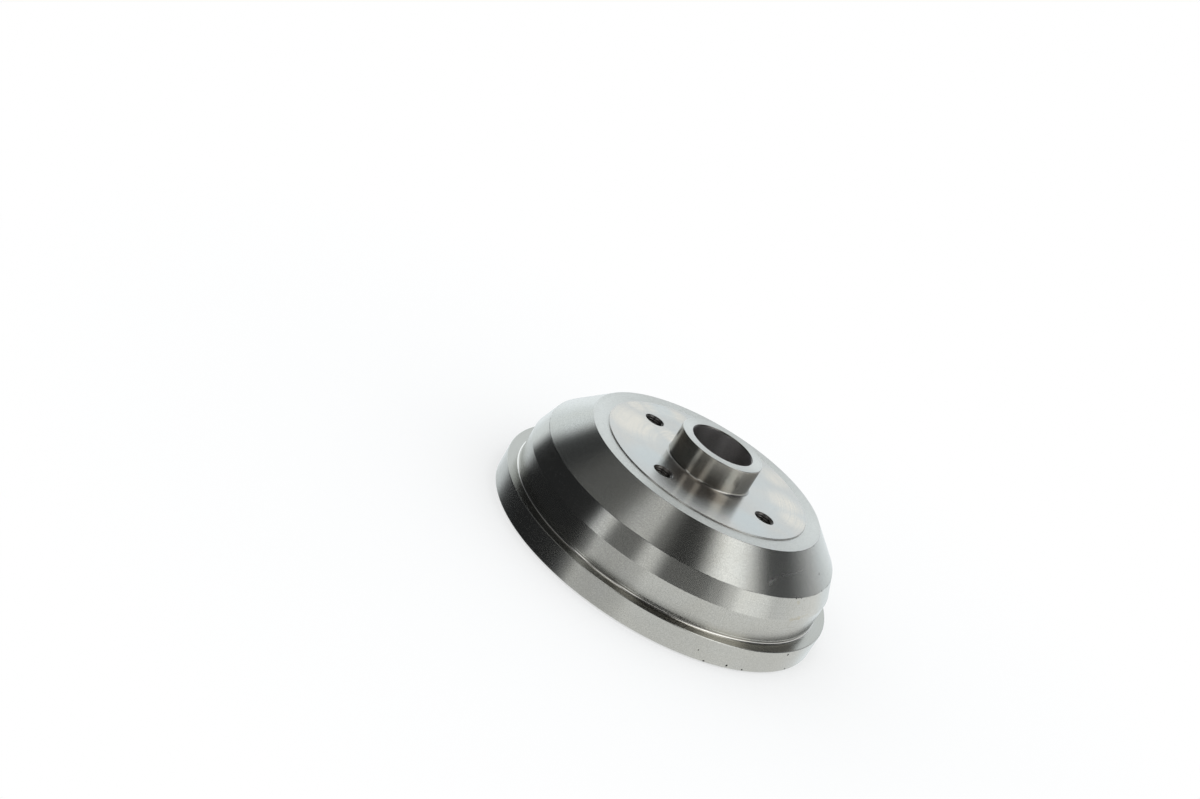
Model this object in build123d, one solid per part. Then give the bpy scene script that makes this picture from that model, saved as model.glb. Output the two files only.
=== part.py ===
"""Rear brake drum with an integral wheel hub: one grey-iron casting, turned all over outside.

Millimetres.  +Z runs along the drum's axis, from the open rim up to the wheel side.  The origin
is the centre of the rim plane, the plane the drum stands on when it is laid open side down.
Every height below is measured from that plane.
"""
import os
from math import atan, cos

from build123d import *

# ---- Braking surface -------------------------------------------------------------------------
FRICTION_D = 200.0              # new working diameter
FRICTION_DEPTH = 36.5           # rim plane to the end of the turned surface
FRICTION_LAND = 3.5             # flat turned step that ends the working surface, radial width

# ---- Rim, listed outwards from the braking surface: friction ring, shield groove, skirt -------
RING_WALL = 4.3
GROOVE_WIDTH = 6.7              # the edge of the brake's back plate runs in this groove
GROOVE_DEPTH = 9.0
SKIRT_WALL = 3.5
SKIRT_SET_BACK = 0.8            # the skirt's edge stands this far above the rim plane
SKIRT_TOP = 16.4                # height of the flat shoulder above the skirt
SHOULDER_WIDTH = 7.9            # the body stands this far inside the skirt's outside
SHOULDER_RELIEF = 1.1           # bevel in the inside corner of the shoulder
RING_CHAMFER = 0.8

# ---- Outside of the body ----------------------------------------------------------------------
BODY_TOP = 34.7                 # end of the plain turned cylinder above the shoulder
LOWER_CONE_INSET = 5.2          # the short steep cone draws the radius in by this much
LOWER_CONE_TOP = 47.8
FACE_D = 162.0                  # flat annulus at the small end of the main cone
FACE_HEIGHT = 67.0

# ---- Wheel seat -------------------------------------------------------------------------------
SEAT_D = 140.6
SEAT_STEP = 0.8                 # the wheel seat stands proud of the annulus by this much

# ---- Wheel spigot -----------------------------------------------------------------------------
SPIGOT_D = 56.5                 # enters the centre hole of the wheel
SPIGOT_TOP = 85.8
SPIGOT_ROOT_RELIEF = 1.0        # bevel at the foot of the spigot, clear of the wheel's edge
SPIGOT_CHAMFER = 0.4

# ---- Wheel bolts ------------------------------------------------------------------------------
BOLT_COUNT = 4
BOLT_CIRCLE_D = 100.0
BOLT_THREAD_D = 12.0            # M12 x 1.5
BOLT_THREAD_PITCH = 1.5
BOLT_MOUTH_OVERSIZE = 1.0       # the countersink is this much wider than the thread

# ---- Hub bore, listed from the wheel side to the rim side --------------------------------------
CAP_SEAT_D = 41.3               # grease cap at the mouth, room for the axle nut behind it
CAP_SEAT_DEPTH = 19.0
OUTER_CUP_D = 39.878            # outer wheel bearing
OUTER_CUP_DEPTH = 12.0
OUTER_SHOULDER_D = 34.5
OUTER_SHOULDER_WIDTH = 6.0
GREASE_BORE_D = 39.0
INNER_CUP_D = 50.292            # inner wheel bearing
INNER_CUP_DEPTH = 13.1
SEAL_SEAT_D = 52.0
SEAL_SEAT_DEPTH = 7.0
BORE_CHAMFER = 0.6

# ---- Hub on the rim side ----------------------------------------------------------------------
HUB_END = 9.0                   # height of the turned end face
HUB_NOSE_D = 60.8               # small end of the turned nose cone
HUB_CAST_D = 71.0
HUB_NOSE_TOP = 18.0             # height where the nose cone meets the cast surface
HUB_ROOT_FILLET = 6.0

# ---- Cast inside of the body and web ----------------------------------------------------------
CASTING_WALL = 8.5              # thickness of the wall under both cones
WEB_WALL = 12.5                 # thickness of the web under the annulus
WEB_CORNER_FILLET = 8.0
LAND_NECK = 4.0                 # plain cast height between the turned land and the inside cone

# ---- Cast pads round the bolt holes, joined to the hub ----------------------------------------
PAD_WIDTH = 21.0
PAD_MARGIN = 10.5               # the pad runs this far out past the bolt circle
PAD_THICKNESS = 5.8
PAD_CORNER = 4.0
PAD_EDGE_CHAMFER = 1.5


# ---- Sizes that follow from the ones above ----------------------------------------------------
FRICTION_R = FRICTION_D / 2
RING_OUTSIDE_R = FRICTION_R + RING_WALL
SKIRT_INSIDE_R = RING_OUTSIDE_R + GROOVE_WIDTH
SKIRT_OUTSIDE_R = SKIRT_INSIDE_R + SKIRT_WALL
BODY_R = SKIRT_OUTSIDE_R - SHOULDER_WIDTH
LOWER_CONE_TOP_R = BODY_R - LOWER_CONE_INSET
SEAT_HEIGHT = FACE_HEIGHT + SEAT_STEP
WEB_INSIDE = FACE_HEIGHT - WEB_WALL
PAD_FLOOR = WEB_INSIDE - PAD_THICKNESS
BOLT_CORE_D = BOLT_THREAD_D - BOLT_THREAD_PITCH
BOLT_MOUTH_D = BOLT_THREAD_D + BOLT_MOUTH_OVERSIZE


def inside_radius(lower, upper, height):
    """Radius, at this height, of the line one casting wall inside the side lower-upper."""
    slope = (lower[0] - upper[0]) / (upper[1] - lower[1])
    outside = lower[0] - (height - lower[1]) * slope
    return outside - CASTING_WALL / cos(atan(slope))


def neck_point():
    """Where the cast inside cone starts, above the turned land of the braking surface."""
    height = FRICTION_DEPTH + LAND_NECK
    lower_cone = (BODY_R, BODY_TOP), (LOWER_CONE_TOP_R, LOWER_CONE_TOP)
    return inside_radius(*lower_cone, height), height


def web_corner_point():
    """Where the cast inside cone meets the inside of the web."""
    main_cone = (LOWER_CONE_TOP_R, LOWER_CONE_TOP), (FACE_D / 2, FACE_HEIGHT)
    return inside_radius(*main_cone, WEB_INSIDE), WEB_INSIDE


def outside_points():
    """Section of the outside, from the skirt's inner edge to the mouth of the hub bore."""
    return [
        (SKIRT_INSIDE_R, SKIRT_SET_BACK),
        (SKIRT_OUTSIDE_R, SKIRT_SET_BACK),
        (SKIRT_OUTSIDE_R, SKIRT_TOP),
        (BODY_R, SKIRT_TOP),
        (BODY_R, BODY_TOP),
        (LOWER_CONE_TOP_R, LOWER_CONE_TOP),
        (FACE_D / 2, FACE_HEIGHT),
        (SEAT_D / 2, FACE_HEIGHT),
        (SEAT_D / 2, SEAT_HEIGHT),
        (SPIGOT_D / 2, SEAT_HEIGHT),
        (SPIGOT_D / 2, SPIGOT_TOP),
    ]


def bore_points():
    """Section of the hub bore, from the grease cap's seat down to the seal's seat."""
    cap_floor = SPIGOT_TOP - CAP_SEAT_DEPTH
    outer_cup_floor = cap_floor - OUTER_CUP_DEPTH
    shoulder_foot = outer_cup_floor - OUTER_SHOULDER_WIDTH
    seal_floor = HUB_END + SEAL_SEAT_DEPTH
    inner_cup_floor = seal_floor + INNER_CUP_DEPTH
    return [
        (CAP_SEAT_D / 2, SPIGOT_TOP),
        (CAP_SEAT_D / 2, cap_floor),
        (OUTER_CUP_D / 2, cap_floor),
        (OUTER_CUP_D / 2, outer_cup_floor),
        (OUTER_SHOULDER_D / 2, outer_cup_floor),
        (OUTER_SHOULDER_D / 2, shoulder_foot),
        (GREASE_BORE_D / 2, shoulder_foot),
        (GREASE_BORE_D / 2, inner_cup_floor),
        (INNER_CUP_D / 2, inner_cup_floor),
        (INNER_CUP_D / 2, seal_floor),
        (SEAL_SEAT_D / 2, seal_floor),
        (SEAL_SEAT_D / 2, HUB_END),
    ]


def inside_points():
    """Section of the inside, from the hub's end face out to the shield groove."""
    return [
        (HUB_NOSE_D / 2, HUB_END),
        (HUB_CAST_D / 2, HUB_NOSE_TOP),
        (HUB_CAST_D / 2, WEB_INSIDE),
        web_corner_point(),
        neck_point(),
        (FRICTION_R - FRICTION_LAND, FRICTION_DEPTH),
        (FRICTION_R, FRICTION_DEPTH),
        (FRICTION_R, 0),
        (RING_OUTSIDE_R, 0),
        (RING_OUTSIDE_R, GROOVE_DEPTH),
        (SKIRT_INSIDE_R, GROOVE_DEPTH),
    ]


def corner(section, radius, height):
    """The corner of the section that lies at this radius and height."""
    return section.vertices().sort_by_distance((radius, height, 0))[0]


def ease_outside(section):
    """Bevel the turned inside corners and break the turned edges of the outside."""
    section = chamfer(corner(section, BODY_R, SKIRT_TOP), SHOULDER_RELIEF)
    section = chamfer(corner(section, SPIGOT_D / 2, SEAT_HEIGHT), SPIGOT_ROOT_RELIEF)
    return chamfer(corner(section, SPIGOT_D / 2, SPIGOT_TOP), SPIGOT_CHAMFER)


def ease_bore(section):
    """Lead-in chamfers for the grease cap and the seal."""
    section = chamfer(corner(section, CAP_SEAT_D / 2, SPIGOT_TOP), BORE_CHAMFER)
    return chamfer(corner(section, SEAL_SEAT_D / 2, HUB_END), BORE_CHAMFER)


def ease_inside(section):
    """Round the cast corners of the inside and break the edges of the friction ring."""
    section = fillet(corner(section, HUB_CAST_D / 2, WEB_INSIDE), HUB_ROOT_FILLET)
    section = fillet(corner(section, *web_corner_point()), WEB_CORNER_FILLET)
    section = chamfer(corner(section, FRICTION_R, 0), RING_CHAMFER)
    return chamfer(corner(section, RING_OUTSIDE_R, 0), RING_CHAMFER)


def drum_section():
    """Half section of the drum, radius along X and height along Y."""
    outline = Polyline(*outside_points(), *bore_points(), *inside_points(), close=True)
    section = make_face(outline)
    section = ease_outside(section)
    section = ease_bore(section)
    return ease_inside(section)


def turned_body():
    """The drum without its bolt holes and cast pads."""
    return revolve(Plane.XZ * drum_section(), axis=Axis.Z)


def bolt_places():
    """Where the wheel bolts stand, evenly round the bolt circle in the rim plane."""
    return PolarLocations(BOLT_CIRCLE_D / 2, BOLT_COUNT)


def cast_pad():
    """One pad under a bolt hole, running from inside the hub wall out past the hole."""
    inner = GREASE_BORE_D / 2 + (HUB_CAST_D - GREASE_BORE_D) / 4
    outer = BOLT_CIRCLE_D / 2 + PAD_MARGIN
    foot = Pos((outer + inner) / 2, 0) * Rectangle(outer - inner, PAD_WIDTH)
    foot = fillet(foot.vertices().group_by(Axis.X)[-1], PAD_CORNER)
    sunk = WEB_WALL / 4
    pad = Pos(0, 0, PAD_FLOOR) * extrude(foot, PAD_THICKNESS + sunk)
    rim_edges = pad.faces().sort_by(Axis.Z)[0].edges().sort_by(Axis.X)[1:]
    return chamfer(rim_edges, PAD_EDGE_CHAMFER)


def bolt_hole():
    """One threaded hole at its core size, countersunk at the wheel seat."""
    sink = (BOLT_MOUTH_D - BOLT_CORE_D) / 2
    upwards = (Align.CENTER, Align.CENTER, Align.MIN)
    core = Cylinder(BOLT_CORE_D / 2, SEAT_HEIGHT - PAD_FLOOR, align=upwards)
    mouth = Cone(BOLT_CORE_D / 2, BOLT_MOUTH_D / 2, sink, align=upwards)
    return Pos(0, 0, PAD_FLOOR) * core + Pos(0, 0, SEAT_HEIGHT - sink) * mouth


def brake_drum():
    """The finished drum: turned casting, bolt pads added, bolt holes cut."""
    drum = turned_body()
    for place in PolarLocations(0, BOLT_COUNT):
        drum += place * cast_pad()
    for place in bolt_places():
        drum -= place * bolt_hole()
    return drum


if __name__ == "__main__":
    os.makedirs("parts", exist_ok=True)
    export_step(brake_drum(), "parts/drum.step")
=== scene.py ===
"""Looks of the brake drum: a finer casting with real threads, in turned, cast and stained iron.

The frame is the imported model, in metres, with +Z up and the origin at the centre of the rim.
Sizes below are in millimetres, the same as the solid's, and are scaled on the way in.
"""

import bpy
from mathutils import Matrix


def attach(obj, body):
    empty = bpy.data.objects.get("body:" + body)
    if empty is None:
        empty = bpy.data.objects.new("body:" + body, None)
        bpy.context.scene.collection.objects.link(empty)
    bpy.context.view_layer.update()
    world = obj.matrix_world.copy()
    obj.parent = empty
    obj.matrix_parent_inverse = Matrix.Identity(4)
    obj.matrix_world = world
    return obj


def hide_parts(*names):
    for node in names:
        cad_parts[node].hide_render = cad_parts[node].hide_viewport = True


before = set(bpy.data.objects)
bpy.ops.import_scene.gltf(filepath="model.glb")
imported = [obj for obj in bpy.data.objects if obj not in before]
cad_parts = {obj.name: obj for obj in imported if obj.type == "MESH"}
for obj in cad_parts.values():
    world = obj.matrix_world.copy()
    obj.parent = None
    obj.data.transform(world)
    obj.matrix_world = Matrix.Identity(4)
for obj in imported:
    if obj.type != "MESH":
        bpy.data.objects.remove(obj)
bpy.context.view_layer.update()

import math

import bmesh
import bpy
from mathutils import Matrix, Vector, noise

MM = 0.001
TURN = 2 * math.pi

# ---- Sizes of the solid ------------------------------------------------------------------------
SHOULDER_Z = 16.4
CONE_EDGE_Z = 47.8      # between the lower and the main cone
SEAT_Z = 67.8
BODY_R = 106.6
FILLET = 1.7            # where the body meets the shoulder
BOLT_CIRCLE_R = 50.0
BOLT_ANGLES = [k * TURN / 4 for k in range(4)]
THREAD_MAJOR_R = 6.0
THREAD_MINOR_R = 5.2
THREAD_PITCH = 1.5
MOUTH_R = 6.5           # of the countersink
PAD_FLOOR_Z = 48.7
PAD_THICKNESS = 5.8
PAD_REACH_R = 60.5
PAD_HALF_WIDTH = 10.5
PAD_CORNER = 4.0

# ---- Sizes that are only here ------------------------------------------------------------------
TOOL_LINE_DEPTH = 0.14          # a fine line turned into the body, above the fillet
PAD_SLOPE = (-0.8, 2.0)         # of a pad's side, from inside its outline to outside it
PAD_FADE_Z = (28.0, 48.0)       # the pads are on the web: none on the boss below it
PAD_FADE_R = (72.0, 80.0)       # and none in its outer corner
SKIN_START_Z = (18.5, 21.0)     # the uneven skin starts above the turned nose
SKIN_END_R = (94.0, 95.5)       # and ends before the turned land
WEB_Z = 47.0                    # above this the skin moves only up and down
RING_SPACING = 12.0             # between the rings of a turned run, at most about
SKIN_SPACING = 1.0              # and between those of the cast skin
CASTING_SEGMENTS = 288          # facets round the casting
HOLE_SEGMENTS = 64              # and round the plug of a bolt hole
THREAD_SEGMENTS = 48            # and round a thread

# Corners of the casting's half section: radius, height, rounding, and the run that starts
# there.  It is walked from the skirt over the outside, down the bore and back.
SECTION = [
    # The band, the shoulder and the body, with its tool line.
    (111.0, 0.8, 0.25, "rim"),
    (114.5, 0.8, 0.35, "band"),
    (114.5, 16.0, 0.1, "edge"),
    (114.1, SHOULDER_Z, 0.1, "shoulder"),
    (BODY_R, SHOULDER_Z, FILLET, "body"),
    (BODY_R, 18.35, 0.05, "body"),
    (BODY_R - TOOL_LINE_DEPTH, 18.65, 0.05, "body"),
    (BODY_R, 18.95, 0.05, "body"),
    # The two cones, the face with the wheel's seat, and the spigot.
    (BODY_R, 34.7, 0.5, "lower_cone"),
    (101.4, CONE_EDGE_Z, 0.25, "main_cone"),
    (81.0, 67.0, 0.3, "annulus"),
    (70.3, 67.0, 0.12, "step"),
    (70.3, SEAT_Z, 0.4, "seat"),
    (28.25, SEAT_Z, 1.6, "spigot"),
    (28.25, 85.8, 0.5, "spigot_end"),
    # The bore: cap seat, outer bearing, shoulder, grease room, inner bearing, seal.
    (21.35, 85.8, 0.1, "mouth"),
    (20.65, 85.1, 0.1, "bore"),
    (20.65, 66.8, 0.15, "bore"),
    (19.94, 66.8, 0.15, "bore"),
    (19.94, 54.8, 0.3, "bore"),
    (17.25, 54.8, 0.3, "bore"),
    (17.25, 48.8, 0.3, "bore"),
    (19.5, 48.8, 0.3, "bore"),
    (19.5, 29.1, 0.3, "bore"),
    (25.15, 29.1, 0.3, "bore"),
    (25.15, 16.0, 0.15, "bore"),
    (26.0, 16.0, 0.15, "bore"),
    # The hub's turned end and the cast inside.
    (26.0, 9.0, 0.5, "hub_end"),
    (30.4, 9.0, 0.5, "nose"),
    (35.5, 18.0, 1.2, "cast"),
    (35.5, 54.5, 6.0, "cast"),
    (81.88, 54.5, 8.0, "cast"),
    (95.15, 40.5, 1.5, "cast"),
    # The friction surface, the ring round it and the groove.
    (96.5, 36.5, 0.3, "land"),
    (100.0, 36.5, 0.3, "friction"),
    (100.0, 0.0, 0.8, "rim"),
    (104.3, 0.0, 0.8, "groove"),
    (104.3, 9.0, 0.5, "groove"),
    (111.0, 9.0, 0.5, "groove"),
]
# Each run has the finish of its own name, or the one given for it here.
FINISHES = [
    "band", "shoulder", "fillet", "body", "annulus", "seat", "spigot", "bore", "cast", "friction",
    "thread"]
FINISH_OF_RUN = {
    "rim": "band", "edge": "body", "lower_cone": "body", "main_cone": "body", "step": "seat",
    # The bore's mouth takes the dark thread finish: painted shade, a dark outline along the bore's rim.
    "spigot_end": "annulus", "mouth": "thread", "hub_end": "annulus", "nose": "annulus",
    "land": "friction", "groove": "friction",
}


# ---- Camera and studio -------------------------------------------------------------------------
def add_camera():
    """The photograph's camera, fitted to the drum's circles, in the drum's own frame."""
    data = bpy.data.cameras.new("camera")
    data.sensor_fit = "HORIZONTAL"
    data.sensor_width = 36.0
    data.lens = 59.058
    data.clip_start, data.clip_end = 0.01, 50.0
    camera = bpy.data.objects.new("camera", data)
    bpy.context.scene.collection.objects.link(camera)
    right = Vector((0.654687, 0.587168, 0.476045))
    up = Vector((-0.594248, 0.010568, 0.804213))
    back = Vector((0.467177, -0.809396, 0.355841))
    turn = Matrix((right, up, back)).transposed().to_4x4()
    camera.matrix_world = Matrix.Translation((0.503219, -1.031753, 0.506319)) @ turn
    bpy.context.scene.camera = camera


class Nodes:
    """Short-hand for building a node tree."""

    def __init__(self, tree):
        self.tree = tree
        tree.nodes.clear()

    def add(self, kind, inputs=None, **settings):
        """A new node with these settings, and its inputs set or linked."""
        node = self.tree.nodes.new(kind)
        for name, value in settings.items():
            setattr(node, name, value)
        for name, value in (inputs or {}).items():
            self.put(node.inputs[name], value)
        return node

    def put(self, socket, value):
        """Links the socket to another node's output, or sets its value."""
        if isinstance(value, bpy.types.NodeSocket):
            self.tree.links.new(value, socket)
        else:
            socket.default_value = value

    def math(self, operation, a, b=0.0, clamp=False):
        node = self.add("ShaderNodeMath", {0: a, 1: b}, operation=operation, use_clamp=clamp)
        return node.outputs[0]

    def step(self, value, none, full):
        """0 where the value is at none or past it, 1 at full, smooth between."""
        node = self.add("ShaderNodeMapRange", {0: value, 1: none, 2: full, 3: 0.0, 4: 1.0})
        node.interpolation_type = "SMOOTHSTEP"
        return node.outputs[0]

    def fit(self, value, low, high, to_low, to_high):
        """The value's range from low to high, stretched to another range."""
        node = self.add("ShaderNodeMapRange", {0: value, 1: low, 2: high, 3: to_low, 4: to_high})
        return node.outputs[0]

    def mix(self, factor, a, b):
        """A number between a and b."""
        return self.add("ShaderNodeMix", {0: factor, 2: a, 3: b}, data_type="FLOAT").outputs[0]

    def blend(self, factor, a, b):
        """A colour between a and b."""
        node = self.add("ShaderNodeMix", data_type="RGBA")
        for index, value in ((0, factor), (6, a), (7, b)):
            self.put(node.inputs[index], value)
        return node.outputs[2]


def grey(level, warm=0.0):
    """A grey as RGBA; warm above 0 leans to brown, below 0 to blue."""
    return (level * (1 + warm), level, level * (1 - warm), 1.0)


def card(n, azimuth, height, az, wide, soft_az, el, tall, soft_el):
    """1 inside a soft-edged patch of the surroundings, 0 outside it; all in degrees."""
    off = n.math("SUBTRACT", azimuth, az)
    wrapped = n.math("SUBTRACT", n.math("FLOORED_MODULO", n.math("ADD", off, 180.0), 360.0), 180.0)
    across = n.math("ABSOLUTE", wrapped)
    up = n.math("ABSOLUTE", n.math("SUBTRACT", height, el))
    in_az = n.step(across, (wide + soft_az) / 2, (wide - soft_az) / 2)
    in_el = n.step(up, (tall + soft_el) / 2, (tall - soft_el) / 2)
    return n.math("MULTIPLY", in_az, in_el)


# The studio that the metal mirrors, laid over one another in this order.  Azimuths count from
# +X towards +Y in the drum's frame, where the camera stands at -64; heights from the horizon.
# The numbers come from a scratch script's fit to how bright the photo's turned bands are by
# angle.  They were then rounded, and changed in places.
# name: azimuth, width, soft edge; height, extent, soft edge; level
CARDS = {
    "back of the table": (110, 54, 24, -57, 90, 14, 1.05),
    "walls": (0, 400, 3, 6, 55, 6, 0.97),
    "ceiling": (0, 400, 3, 59, 64, 6, 0.15),
    "back wall": (123, 40, 10, 15, 70, 11, 1.09),
    "neighbour in shade": (-150, 84, 14, -5, 96, 7, 0.024),
    "neighbour's foot": (-132, 56, 6, -31, 50, 8, 0.022),
    "ceiling light": (-95, 38, 9, 66, 27, 8, 0.90),
    "gap of light": (-106, 5, 5, 13, 52, 10, 0.90),
    "dark stand": (-81, 34, 7, 12, 60, 14, 0.15),
    "camera side": (-66, 13, 8, 17, 38, 9, 0.92),
    "dark wall": (-38, 41, 11, 41, 76, 12, 0.01),
    "grey edge": (-10, 18, 8, 24, 40, 10, 0.12),
    "softbox": (18, 51, 4, 45, 48, 6, 1.58),
    "dark panel": (65, 76, 5, 38, 44, 44, 0.01),
}
TABLE_LEVEL = 0.70      # what no card covers
# Where the studio is a little blue: behind the drum, and on two of the cards.
COOL_BACK = (125, 92, 16, -10, 112, 10)
TINTS = {
    "cool back": (0.945, 1.0, 1.04, 1.0),
    "dark panel": (0.96, 1.0, 1.08, 1.0),
    "neighbour in shade": (0.97, 1.0, 1.06, 1.0),
}


def add_world():
    """White to the camera; to the metal, a studio of soft cards round the drum."""
    world = bpy.data.worlds.new("studio")
    bpy.context.scene.world = world
    world.use_nodes = True
    world.cycles.sampling_method = "NONE"
    n = Nodes(world.node_tree)
    direction = n.add("ShaderNodeTexCoord").outputs["Generated"]
    x, y, z = n.add("ShaderNodeSeparateXYZ", {0: direction}).outputs
    azimuth = n.math("MULTIPLY", n.math("ARCTAN2", y, x), 180 / math.pi)
    height = n.math("MULTIPLY", n.math("ARCSINE", z), 180 / math.pi)
    masks, level, tint = {}, TABLE_LEVEL, grey(1.0)
    for name, (*patch, card_level) in CARDS.items():
        masks[name] = card(n, azimuth, height, *patch)
        level = n.mix(masks[name], level, card_level)
    masks["cool back"] = card(n, azimuth, height, *COOL_BACK)
    for name, colour in TINTS.items():
        tint = n.blend(masks[name], tint, colour)
    mirrored = n.add("ShaderNodeBackground", {"Color": tint, "Strength": level})
    plain = n.add("ShaderNodeBackground", {"Color": grey(1.0), "Strength": 1.0})
    path = n.add("ShaderNodeLightPath")
    pick = n.add("ShaderNodeMixShader", {
        0: path.outputs["Is Glossy Ray"], 1: plain.outputs[0], 2: mirrored.outputs[0]})
    n.add("ShaderNodeOutputWorld", {"Surface": pick.outputs[0]})


def add_floor():
    """A pale floor that keeps the drum's shadow and fades to white; clear from below."""
    reach, z = 3.0, -0.2 * MM
    fade_from, fade_to = 0.16, 0.45
    mesh = bpy.data.meshes.new("floor")
    corners = [(-reach, -reach, z), (reach, -reach, z), (reach, reach, z), (-reach, reach, z)]
    mesh.from_pydata(corners, [], [(0, 1, 2, 3)])
    floor = bpy.data.objects.new("floor", mesh)
    bpy.context.scene.collection.objects.link(floor)
    floor.visible_glossy = False
    floor.visible_diffuse = False
    material = bpy.data.materials.new("pale_floor")
    material.use_nodes = True
    n = Nodes(material.node_tree)
    place = n.add("ShaderNodeTexCoord").outputs["Object"]
    away = n.add("ShaderNodeVectorMath", {0: place}, operation="LENGTH").outputs["Value"]
    pale = n.add("ShaderNodeBsdfDiffuse", {"Color": (0.965, 0.985, 0.995, 1.0)})
    white = n.add("ShaderNodeEmission", {"Color": grey(1.0), "Strength": 1.0})
    fade = n.fit(away, fade_from, fade_to, 0.5, 1.0)
    above = n.add("ShaderNodeMixShader", {0: fade, 1: pale.outputs[0], 2: white.outputs[0]})
    under = n.add("ShaderNodeNewGeometry").outputs["Backfacing"]
    clear = n.add("ShaderNodeBsdfTransparent")
    both = n.add("ShaderNodeMixShader", {0: under, 1: above.outputs[0], 2: clear.outputs[0]})
    n.add("ShaderNodeOutputMaterial", {"Surface": both.outputs[0]})
    mesh.materials.append(material)


# ---- Shapes ------------------------------------------------------------------------------------
def rounded_corner(before, point, after, radius):
    """Points of one rounded corner, with a support point on each run beside it.

    The rounding takes at most 0.45 of the shorter run, and has finer facets where it is larger.
    """
    a, p, b = Vector(before), Vector(point), Vector(after)
    into, out = (p - a).normalized(), (b - p).normalized()
    half = math.acos(max(-1.0, min(1.0, into.dot(out)))) / 2
    if half < 0.01:
        return [p]
    radius = min(radius, 0.45 * min((p - a).length, (b - p).length) / math.tan(half))
    start, end = p - into * radius * math.tan(half), p + out * radius * math.tan(half)
    side = 1 if into.x * out.y - into.y * out.x > 0 else -1
    centre = start + Vector((-into.y, into.x)) * side * radius
    facet_turn = 9 if radius > 1 else 20 if radius > 0.3 else 45
    steps = max(2, math.ceil(math.degrees(2 * half) / facet_turn))
    arm, points = start - centre, []
    for k in range(steps + 1):
        turn = side * 2 * half * k / steps
        c, s = math.cos(turn), math.sin(turn)
        points.append(centre + Vector((arm.x * c - arm.y * s, arm.x * s + arm.y * c)))
    margin = min(0.2, 0.2 * (p - a).length, 0.2 * (b - p).length)
    return [start - into * margin, *points, end + out * margin]


def corner_rings():
    """The rounded corners of the half section: radius, height, and the run after each point."""
    rings = []
    for k, (r, z, radius, run) in enumerate(SECTION):
        before, after = SECTION[k - 1], SECTION[(k + 1) % len(SECTION)]
        points = rounded_corner(before[:2], (r, z), after[:2], radius)
        for i, p in enumerate(points):
            on_arc = 0 < i < len(points) - 2
            # The fillet's arc gets the finish with the lighter copy of the iron: a painted highlight.
            if on_arc and radius == FILLET:
                rings.append((p.x, p.y, "fillet"))
            else:
                rings.append((p.x, p.y, run if i >= len(points) // 2 else before[3]))
    return rings


def section_rings():
    """The corner rings with more between them: close on the cast skin, wide elsewhere."""
    corners, rings = corner_rings(), []
    for k, (r, z, run) in enumerate(corners):
        next_r, next_z, _ = corners[(k + 1) % len(corners)]
        gap = math.hypot(next_r - r, next_z - z)
        parts = max(1, round(gap / (SKIN_SPACING if run == "cast" else RING_SPACING)))
        for j in range(parts):
            rings.append((r + (next_r - r) * j / parts, z + (next_z - z) * j / parts, run))
    return rings


def smooth(value, low, high):
    """0 below low, 1 above high, smooth between."""
    t = max(0.0, min(1.0, (value - low) / (high - low)))
    return t * t * (3 - 2 * t)


def pad_drop(radius, angle):
    """How far the cast pads round the bolt holes stand down from the web."""
    most = 0.0
    for bolt in BOLT_ANGLES:
        x, y = radius * math.cos(angle - bolt), radius * math.sin(angle - bolt)
        if x < 0:
            continue
        dx, dy = x - (PAD_REACH_R - PAD_CORNER), abs(y) - (PAD_HALF_WIDTH - PAD_CORNER)
        outside = math.hypot(max(dx, 0.0), max(dy, 0.0)) + min(max(dx, dy), 0.0) - PAD_CORNER
        most = max(most, 1 - smooth(outside, *PAD_SLOPE))
    return PAD_THICKNESS * most


def cast_point(radius, height, angle):
    """A point of the cast inside: pads added, and the skin uneven as sand leaves it."""
    on_web = smooth(height, *PAD_FADE_Z) * (1 - smooth(radius, *PAD_FADE_R))
    height -= on_web * pad_drop(radius, angle)
    place = Vector((radius * math.cos(angle), radius * math.sin(angle), height))
    uneven = 0.22 * noise.noise(place / 7) + 0.12 * noise.noise(place / 2.2)
    uneven *= smooth(height, *SKIN_START_Z) * (1 - smooth(radius, *SKIN_END_R))
    return radius + (uneven if height < WEB_Z else 0.0), height - uneven


def add_band(bm, low, high, slot=0, flip=False):
    """Faces between two rings of as many points, smooth, in one material slot."""
    for k in range(len(low)):
        a, b = k, (k + 1) % len(low)
        if flip:
            a, b = b, a
        face = bm.faces.new((low[a], low[b], high[b], high[a]))
        face.material_index = slot
        face.smooth = True


def build_casting():
    """The revolved casting as one closed mesh, one material slot for each finish."""
    rings = section_rings()
    bm = bmesh.new()
    rows = []
    for r, z, run in rings:
        row = []
        for k in range(CASTING_SEGMENTS):
            angle = TURN * k / CASTING_SEGMENTS
            pr, pz = cast_point(r, z, angle) if run == "cast" else (r, z)
            row.append(bm.verts.new((pr * math.cos(angle) * MM, pr * math.sin(angle) * MM, pz * MM)))
        rows.append(row)
    for i, (_, _, run) in enumerate(rings):
        slot = FINISHES.index(FINISH_OF_RUN.get(run, run))
        add_band(bm, rows[i], rows[(i + 1) % len(rows)], slot)
    bmesh.ops.recalc_face_normals(bm, faces=bm.faces)
    return to_object(bm, "drum_casting")


def to_object(bm, name):
    """The finished mesh as an object in the scene."""
    mesh = bpy.data.meshes.new(name)
    bm.to_mesh(mesh)
    bm.free()
    piece = bpy.data.objects.new(name, mesh)
    bpy.context.scene.collection.objects.link(piece)
    return piece


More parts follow.
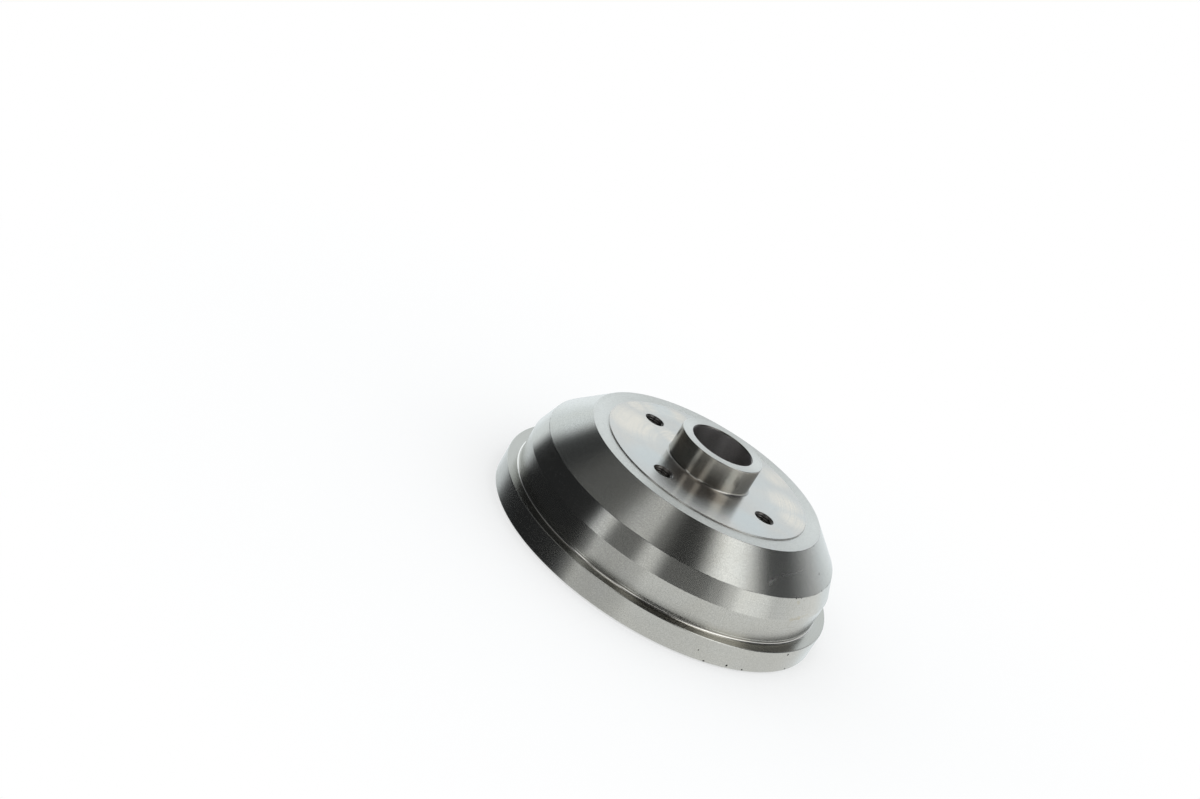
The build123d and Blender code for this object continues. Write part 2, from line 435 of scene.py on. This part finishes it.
def hole_cutters():
    """Four plugs at the thread's outer diameter, countersunk at both ends, as one mesh."""
    foot_z, top_z = 40, 72
    foot_r, top_r = THREAD_MAJOR_R + 2, MOUTH_R + 0.25
    profile = [
        (foot_r, foot_z), (foot_r, PAD_FLOOR_Z - 1.2),
        (THREAD_MAJOR_R, PAD_FLOOR_Z + 0.6), (THREAD_MAJOR_R, SEAT_Z - 0.62),
        (MOUTH_R, SEAT_Z - 0.12), (top_r, SEAT_Z + 0.03), (top_r, top_z),
    ]
    turns = [TURN * k / HOLE_SEGMENTS for k in range(HOLE_SEGMENTS)]
    bm = bmesh.new()
    for bolt in BOLT_ANGLES:
        centre = Vector((math.cos(bolt), math.sin(bolt), 0)) * BOLT_CIRCLE_R
        rows = []
        for r, z in profile:
            ring = [Vector((math.cos(turn) * r, math.sin(turn) * r, z)) for turn in turns]
            rows.append([bm.verts.new((point + centre) * MM) for point in ring])
        for low, high in zip(rows, rows[1:]):
            add_band(bm, low, high)
        bm.faces.new(rows[0][::-1])
        bm.faces.new(rows[-1])
    for face in bm.faces:
        face.material_index = FINISHES.index("thread")
    bmesh.ops.recalc_face_normals(bm, faces=bm.faces)
    return to_object(bm, "cutters")


def cut_holes(casting, materials):
    """Takes the plugs out of the casting and keeps hard edges where they cut it."""
    cutters = hole_cutters()
    for material in materials:
        casting.data.materials.append(material)
        cutters.data.materials.append(material)
    cut = casting.modifiers.new("bolt holes", "BOOLEAN")
    cut.operation, cut.solver, cut.object = "DIFFERENCE", "EXACT", cutters
    graph = bpy.context.evaluated_depsgraph_get()
    mesh = bpy.data.meshes.new_from_object(casting.evaluated_get(graph), depsgraph=graph)
    casting.modifiers.clear()
    casting.data = mesh
    bpy.data.objects.remove(cutters)
    hard_turn = math.radians(27)
    bm = bmesh.new()
    bm.from_mesh(mesh)
    for edge in bm.edges:
        if len(edge.link_faces) == 2 and edge.calc_face_angle(0.0) > hard_turn:
            edge.smooth = False
    bm.to_mesh(mesh)
    bm.free()
    mesh.name = "drum_casting"


def thread_radius(turns):
    """Radius of the thread's surface at this point of its pitch: crest, flank, root, flank."""
    share, depth = turns % 1.0, THREAD_MAJOR_R - THREAD_MINOR_R
    crest, flank, root = 0.25, 0.3125, 0.125
    if share < crest:
        return THREAD_MINOR_R
    if share < crest + flank:
        return THREAD_MINOR_R + depth * (share - crest) / flank
    if share < crest + flank + root:
        return THREAD_MAJOR_R
    return THREAD_MAJOR_R - depth * (share - crest - flank - root) / flank


def build_thread(index, bolt, material):
    """The cut thread of one bolt hole, right-handed, dying out in the countersinks.

    Its root bites a little into the casting, so that no gap shows between them.
    """
    bm = bmesh.new()
    step, inset, bite = THREAD_PITCH / 8, 0.3, 0.04
    low, high = PAD_FLOOR_Z + inset, SEAT_Z - inset
    rows = []
    for i in range(int((high - low) / step) + 1):
        z = low + i * step
        upper_sink, lower_sink = MOUTH_R + 0.1 - (SEAT_Z - z), MOUTH_R - (z - PAD_FLOOR_Z)
        row = []
        for k in range(THREAD_SEGMENTS):
            turn = TURN * k / THREAD_SEGMENTS
            r = max(thread_radius(z / THREAD_PITCH - k / THREAD_SEGMENTS), upper_sink, lower_sink)
            r = min(r, THREAD_MAJOR_R + bite)
            x = BOLT_CIRCLE_R * math.cos(bolt) + r * math.cos(turn)
            y = BOLT_CIRCLE_R * math.sin(bolt) + r * math.sin(turn)
            row.append(bm.verts.new((x * MM, y * MM, z * MM)))
        rows.append(row)
    for below, above in zip(rows, rows[1:]):
        add_band(bm, below, above, flip=True)
    piece = to_object(bm, f"bolt_thread_{index}")
    piece.data.materials.append(material)
    return piece


# ---- Finishes ----------------------------------------------------------------------------------
class Metal(Nodes):
    """The node tree of a metal, with the patterns and marks that its finishes are made of."""

    def __init__(self, name):
        self.material = bpy.data.materials.new(name)
        self.material.use_nodes = True
        super().__init__(self.material.node_tree)
        self.place = self.add("ShaderNodeTexCoord").outputs["Object"]
        self.x, self.y, self.z = self.add("ShaderNodeSeparateXYZ", {0: self.place}).outputs
        squares = [self.math("MULTIPLY", side, side) for side in (self.x, self.y)]
        self.r = self.math("SQRT", self.math("ADD", *squares))

    def rings(self, pitch_mm, detail=3.0, drift=0.35):
        """Lines that run round the axis, one every pitch or so."""
        angle = self.math("ARCTAN2", self.y, self.x)
        along = self.math("MULTIPLY", angle, drift)
        where = self.add("ShaderNodeCombineXYZ", {
            0: self.math("MULTIPLY", self.r, 1000 / pitch_mm),
            1: self.math("MULTIPLY", self.z, 1000 / pitch_mm), 2: along})
        return self.noise(1.0, detail, vector=where.outputs[0])

    def share(self, pattern, most, low=0.3, high=0.7):
        """0 where the pattern is low, most where it is high."""
        return self.fit(pattern, low, high, 0.0, most)

    def noise(self, scale, detail=3.0, rough=0.55, vector=None, warp=0.0):
        """A mottled pattern round 0.5, finer with a larger scale."""
        node = self.add("ShaderNodeTexNoise", {
            "Vector": self.place if vector is None else vector, "Scale": scale,
            "Detail": detail, "Roughness": rough, "Distortion": warp})
        return node.outputs[0]

    def spot(self, x, y, z, radius, full=0.45):
        """1 in the middle of a round mark at this point in mm, 0 outside its radius."""
        point = (x * MM, y * MM, z * MM)
        off = self.add("ShaderNodeVectorMath", {0: self.place, 1: point}, operation="DISTANCE")
        return self.step(off.outputs["Value"], radius * MM, radius * MM * full)

    def marks(self, places, z, full=0.3):
        """1 in any of several round marks at this height, each a place and a radius in mm."""
        most, *others = [self.spot(x, y, z, radius, full) for x, y, radius in places]
        for mark in others:
            most = self.math("MAXIMUM", most, mark)
        return most

    def from_line(self, start, end):
        """How far a point on the outside is from a line, as if the outside were rolled out.

        Each end of the line is a turn in degrees and a height in mm.
        """
        turn = self.math("MULTIPLY", self.math("ARCTAN2", self.y, self.x), ROLLED_OUT_R * MM)
        place = self.add("ShaderNodeCombineXYZ", {0: turn, 1: self.z}).outputs[0]
        start, end = (Vector((math.radians(a) * ROLLED_OUT_R * MM, z * MM, 0)) for a, z in (start, end))
        along = end - start
        off = self.add("ShaderNodeVectorMath", {0: place, 1: start}, operation="SUBTRACT").outputs[0]
        dot = self.add("ShaderNodeVectorMath", {
            0: off, 1: along / max(along.length_squared, 1e-12)}, operation="DOT_PRODUCT")
        part = self.math("ADD", dot.outputs["Value"], 0.0, clamp=True)
        line = self.add("ShaderNodeVectorMath", {0: along, "Scale": part}, operation="SCALE").outputs[0]
        return self.add("ShaderNodeVectorMath", {0: off, 1: line}, operation="DISTANCE").outputs["Value"]

    def finish(self, colour, roughness, bump, anisotropy=0.0, metallic=1.0, depth_mm=0.02,
               strength=0.3):
        """The finished material; its highlights are drawn out across the tool's rings."""
        tangent = self.add("ShaderNodeTangent", direction_type="RADIAL", axis="Z")
        raised = self.add("ShaderNodeBump", {
            "Height": bump, "Strength": strength, "Distance": depth_mm * MM})
        shader = self.add("ShaderNodeBsdfPrincipled", {
            "Base Color": colour, "Roughness": roughness, "Metallic": metallic,
            "Normal": raised.outputs[0], "Tangent": tangent.outputs[0]})
        shader.inputs["Anisotropic"].default_value = anisotropy
        shader.inputs["Anisotropic Rotation"].default_value = 0.25
        self.add("ShaderNodeOutputMaterial", {"Surface": shader.outputs[0]})
        return self.material


# Pits of the band and nicks of the outside: a point and a radius, in mm.  They were picked by
# eye in the photo, and a scratch script turned their places into points on the drum.
PITS = [(114.3, -6.1, 14.1, 1.0), (103.0, -50.1, 2.6, 0.95), (94.9, -64.0, 1.4, 0.8),
        (107.8, -38.6, 1.7, 0.75), (114.4, 2.0, 1.8, 0.85), (90.9, -69.6, 7.2, 0.55)]
EDGE_NICKS = [(101.0, -11.1, 47.8, 0.7), (98.8, 22.1, 47.8, 0.75), (95.2, 33.6, 47.9, 0.6),
              (92.6, 41.8, 47.5, 0.8), (78.4, 21.9, 66.8, 0.6), (101.4, -5.7, 47.6, 0.5),
              (91.3, 22.1, 54.8, 0.6), (90.7, 23.6, 55.1, 0.5)]
# Marks of handling, drawn on the outside rolled out at this radius: a line from one place to
# another, each a turn in degrees and a height, then its width or ring radius, then its strength.
ROLLED_OUT_R = 95.0
SCUFFS = [((-20.0, 53.0), (-19.0, 53.8), 1.3, 0.10), ((-19.8, 53.2), (-16.5, 55.6), 0.7, 0.12),
          ((-13.0, 56.8), (-0.6, 58.8), 0.35, 0.07), ((-47.0, 51.0), (-44.5, 55.0), 0.3, 0.1),
          ((112.0, 50.5), (121.0, 57.5), 0.4, 0.1)]
SMEARS = [((-6.5, 35.0), (-2.0, 35.8), 1.5, 0.5), ((-2.0, 35.8), (3.5, 37.0), 0.9, 0.4),
          ((-5.0, 45.6), (-4.4, 45.2), 1.7, 0.45)]
DRIED_DROPS = [((1.2, 43.6), (1.2, 43.6), 4.2), ((-4.2, 32.2), (-3.0, 32.0), 3.4)]
# Marks of the wheel seat, stains with some painted light among them, and painted shade on the shoulder:
# x, y and radius.
# Cream stains; the one at (-34, -3), by the spigot's base, is a painted highlight.
CREAM_STAINS_AND_HIGHLIGHT = [(-48, -26, 26), (-53, 29, 11), (40, 40, 19), (55, 30, 16), (14, 61, 15),
               (-34, -3, 12), (-67, -2, 11), (-63, 12, 11), (-58, 22, 11)]
BLUE_MARKS = [(-60, 20, 13), (52, -22, 20), (-12, -48, 20), (-20, 45, 16)]
# Brown patches in front of the spigot: painted reflection of the spigot in the seat.
SPIGOT_REFLECTION_MARKS = [(10, -33, 21), (25, -26, 15), (17, -40, 14)]
# Dark brown patches of painted shade on the shoulder, where it mirrors the body wall.
SHOULDER_SHADE_MARKS = [(104, -38, 44), (62, -92, 36)]


def handled(m, colour, roughness):
    """Marks of handling on the outside: faint scuffs, a greasy smear, rings where drops dried."""
    wobble = m.math("MULTIPLY", m.math("SUBTRACT", m.noise(260.0, 3.0), 0.5), 3.2 * MM)
    tan = m.blend(0.75, colour, (0.50, 0.46, 0.34, 1))
    for start, end, width, strength in SMEARS:
        near = m.step(m.math("ADD", m.from_line(start, end), wobble), width * MM, width * MM * 0.4)
        colour = m.blend(m.math("MULTIPLY", near, strength), colour, tan)
    for start, end, radius in DRIED_DROPS:
        off = m.math("SUBTRACT", m.math("ADD", m.from_line(start, end), wobble), radius * MM)
        ring = m.step(m.math("ABSOLUTE", off), 0.5 * MM, 0.1 * MM)
        colour = m.blend(m.math("MULTIPLY", ring, 0.16), colour, (0.33, 0.31, 0.26, 1))
    for start, end, width, strength in SCUFFS:
        near = m.step(m.from_line(start, end), width * MM, width * MM * 0.3)
        scuff = m.math("MULTIPLY", near, strength)
        colour = m.blend(scuff, colour, grey(0.8))
        roughness = m.mix(scuff, roughness, 0.5)
    return colour, roughness


def turned(name, base, rough, anisotropy, spotted=0.3, pits=(), edge_line=0.0, metallic=1.0,
           grainy=0.45, raised=0.05, shade_marks=()):
    """Dry machined iron: its colour, roughness and how far its highlights are drawn out.

    spotted, grainy and raised say how strongly it is mottled, grained and ringed.  Pits and patches
    of painted shade are added, and an edge line's height makes it the handled outside of the drum.
    """
    m = Metal(name)
    fine, broad = m.rings(0.5, 1.0, 0.1), m.rings(2.6, 2.0, 0.05)
    patches = m.noise(60.0, 4.0)
    grain = m.noise(1200.0, 2.0, 0.6)
    worn = (base[0] * 0.92, base[1] * 0.88, base[2] * 0.80, 1)
    colour = m.blend(m.share(patches, spotted, 0.35), base, worn)
    for pattern, strength, level in ((broad, 0.12, 0.8), (fine, 0.16, 0.7), (grain, grainy, 0.6)):
        darker = (base[0] * level, base[1] * level, base[2] * level, 1)
        colour = m.blend(m.share(pattern, strength), colour, darker)
    uneven = m.math("MULTIPLY", m.math("ADD", grain, patches), 0.08 * grainy)
    roughness = m.math("ADD", rough - 0.03, uneven)
    height = m.math("ADD", fine, m.math("MULTIPLY", grain, 0.1))
    # Dark brown patches of painted shade, where the shoulder mirrors the body wall.
    if shade_marks:
        painted_shade = m.math("MULTIPLY", m.marks(shade_marks, SHOULDER_Z, 0.8), 0.45)
        colour = m.blend(painted_shade, colour, (0.20, 0.17, 0.125, 1))
    if edge_line:
        off = m.math("ABSOLUTE", m.math("SUBTRACT", m.z, edge_line * MM))
        worn_dark = m.share(patches, 0.5, 0.4, 0.6)
        line = m.math("MULTIPLY", m.step(off, 0.4 * MM, 0.1 * MM), worn_dark)
        colour = m.blend(line, colour, grey(0.12))
        colour, roughness = handled(m, colour, roughness)
    for x, y, z, size in pits:
        pit = m.spot(x, y, z, size)
        colour = m.blend(pit, colour, grey(0.02, 0.1))
        roughness = m.mix(pit, roughness, 0.8)
        height = m.math("SUBTRACT", height, m.math("MULTIPLY", pit, 20.0))
    return m.finish(colour, roughness, height, anisotropy, metallic=metallic, strength=raised)


def seat_stains_and_painted_light():
    """The wheel seat: turned smooth, with dried marks of cream and blue, painted reflection of the
    spigot in brown, and a painted highlight in cream by its base.
    """
    m = Metal("wheel_seat")
    fine, brushed = m.rings(0.5, 1.0, 0.1), m.rings(0.9, 4.0, 1.2)
    clouds = m.noise(34.0, 4.0, 0.55, warp=0.6)
    grain = m.noise(1000.0, 2.0, 0.6)
    cool, warm = (0.545, 0.56, 0.54, 1), (0.59, 0.57, 0.525, 1)
    base = m.blend(m.share(clouds, 1.0, 0.35, 0.65), cool, warm)
    streaks = m.fit(m.math("ADD", brushed, clouds), 0.75, 1.2, 0.3, 1.0)
    # Cream stains, and at (-34, -3) a cream patch of painted highlight by the spigot's base.
    cream = m.math("MULTIPLY", m.marks(CREAM_STAINS_AND_HIGHLIGHT, SEAT_Z), streaks)
    colour = m.blend(cream, base, (0.76, 0.70, 0.60, 1))
    blue = m.math("MULTIPLY", m.marks(BLUE_MARKS, SEAT_Z), m.fit(clouds, 0.35, 0.65, 0.3, 0.8))
    colour = m.blend(blue, colour, (0.56, 0.62, 0.625, 1))
    # Dark brown patches of painted reflection, where the seat mirrors the spigot.
    brown = m.math("MULTIPLY", m.marks(SPIGOT_REFLECTION_MARKS, SEAT_Z), 0.85)
    colour = m.blend(brown, colour, (0.335, 0.285, 0.23, 1))
    colour = m.blend(m.share(fine, 0.2), colour, grey(0.45))
    colour = m.blend(m.share(grain, 0.3), colour, grey(0.42))
    roughness = m.math("ADD", 0.19, m.math("MULTIPLY", clouds, 0.04))
    return m.finish(colour, roughness, fine, anisotropy=0.85, metallic=0.9, strength=0.03)


def cast_skin():
    """The unmachined inside: dark, rough and dry, with a bloom of brown."""
    m = Metal("cast_skin")
    grain, coarse = m.noise(1400.0, 3.0, 0.6), m.noise(260.0, 4.0, 0.6)
    stain = m.noise(30.0, 4.0)
    colour = m.blend(m.share(coarse, 1.0), grey(0.045), grey(0.10, 0.05))
    colour = m.blend(m.share(stain, 0.5, 0.5, 0.75), colour, (0.13, 0.085, 0.055, 1))
    height = m.math("ADD", m.math("MULTIPLY", grain, 0.5), coarse)
    roughness = m.fit(grain, 0.3, 0.7, 0.55, 0.8)
    return m.finish(colour, roughness, height, metallic=0.35, depth_mm=0.25, strength=0.8)


def add_materials():
    """The material of each finish, in the order of the slots."""
    # bright is a lighter copy of the iron: a painted highlight along the fillet.
    iron, bright, dark = (0.67, 0.68, 0.642, 1), (0.90, 0.885, 0.84, 1), (0.48, 0.478, 0.442, 1)
    pale, warm, ground = (0.69, 0.70, 0.668, 1), (0.495, 0.487, 0.447, 1), (0.45, 0.44, 0.44, 1)
    made = {
        "band": turned("turned_band", iron, 0.26, 0.88, spotted=0.25, pits=PITS),
        # The shoulder takes dark, a darker copy of the iron: painted shade in the corner under the body
        # wall.
        "shoulder": turned(
            "turned_shoulder", dark, 0.21, 0.9, spotted=0.2, grainy=0.1, raised=0.01, shade_marks=SHOULDER_SHADE_MARKS),
        # The fillet takes bright, a lighter copy of the iron: a painted highlight along the fillet.
        "fillet": turned("fillet_painted_highlight", bright, 0.16, 0.5, spotted=0.1, grainy=0.05, raised=0.01),
        "body": turned("turned_body", iron, 0.25, 0.9, pits=EDGE_NICKS, edge_line=CONE_EDGE_Z),
        "annulus": turned("turned_annulus", pale, 0.34, 0.7, spotted=0.1, metallic=0.86),
        "seat": seat_stains_and_painted_light(),
        "spigot": turned("turned_spigot", warm, 0.20, 0.9, spotted=0.4),
        "bore": turned("ground_bore", ground, 0.36, 0.6, metallic=0.92),
        "cast": cast_skin(),
        "friction": turned("friction_surface", grey(0.50, 0.01), 0.25, 0.7, spotted=0.25),
        # The dark thread finish also lies on the bore's mouth, as painted shade along its rim.
        "thread": turned("cut_thread_and_rim_shade", grey(0.20, 0.04), 0.34, 0.2, spotted=0.4),
    }
    return [made[name] for name in FINISHES]


def build_drum():
    """The casting and its four threads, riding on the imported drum."""
    materials = add_materials()
    casting = build_casting()
    cut_holes(casting, materials)
    pieces = [casting]
    for index, bolt in enumerate(BOLT_ANGLES):
        pieces.append(build_thread(index + 1, bolt, materials[-1]))
    for piece in pieces:
        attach(piece, "root")
    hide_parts("drum")


add_camera()
add_world()
add_floor()
build_drum()
bpy.context.scene.view_settings.view_transform = "Standard"
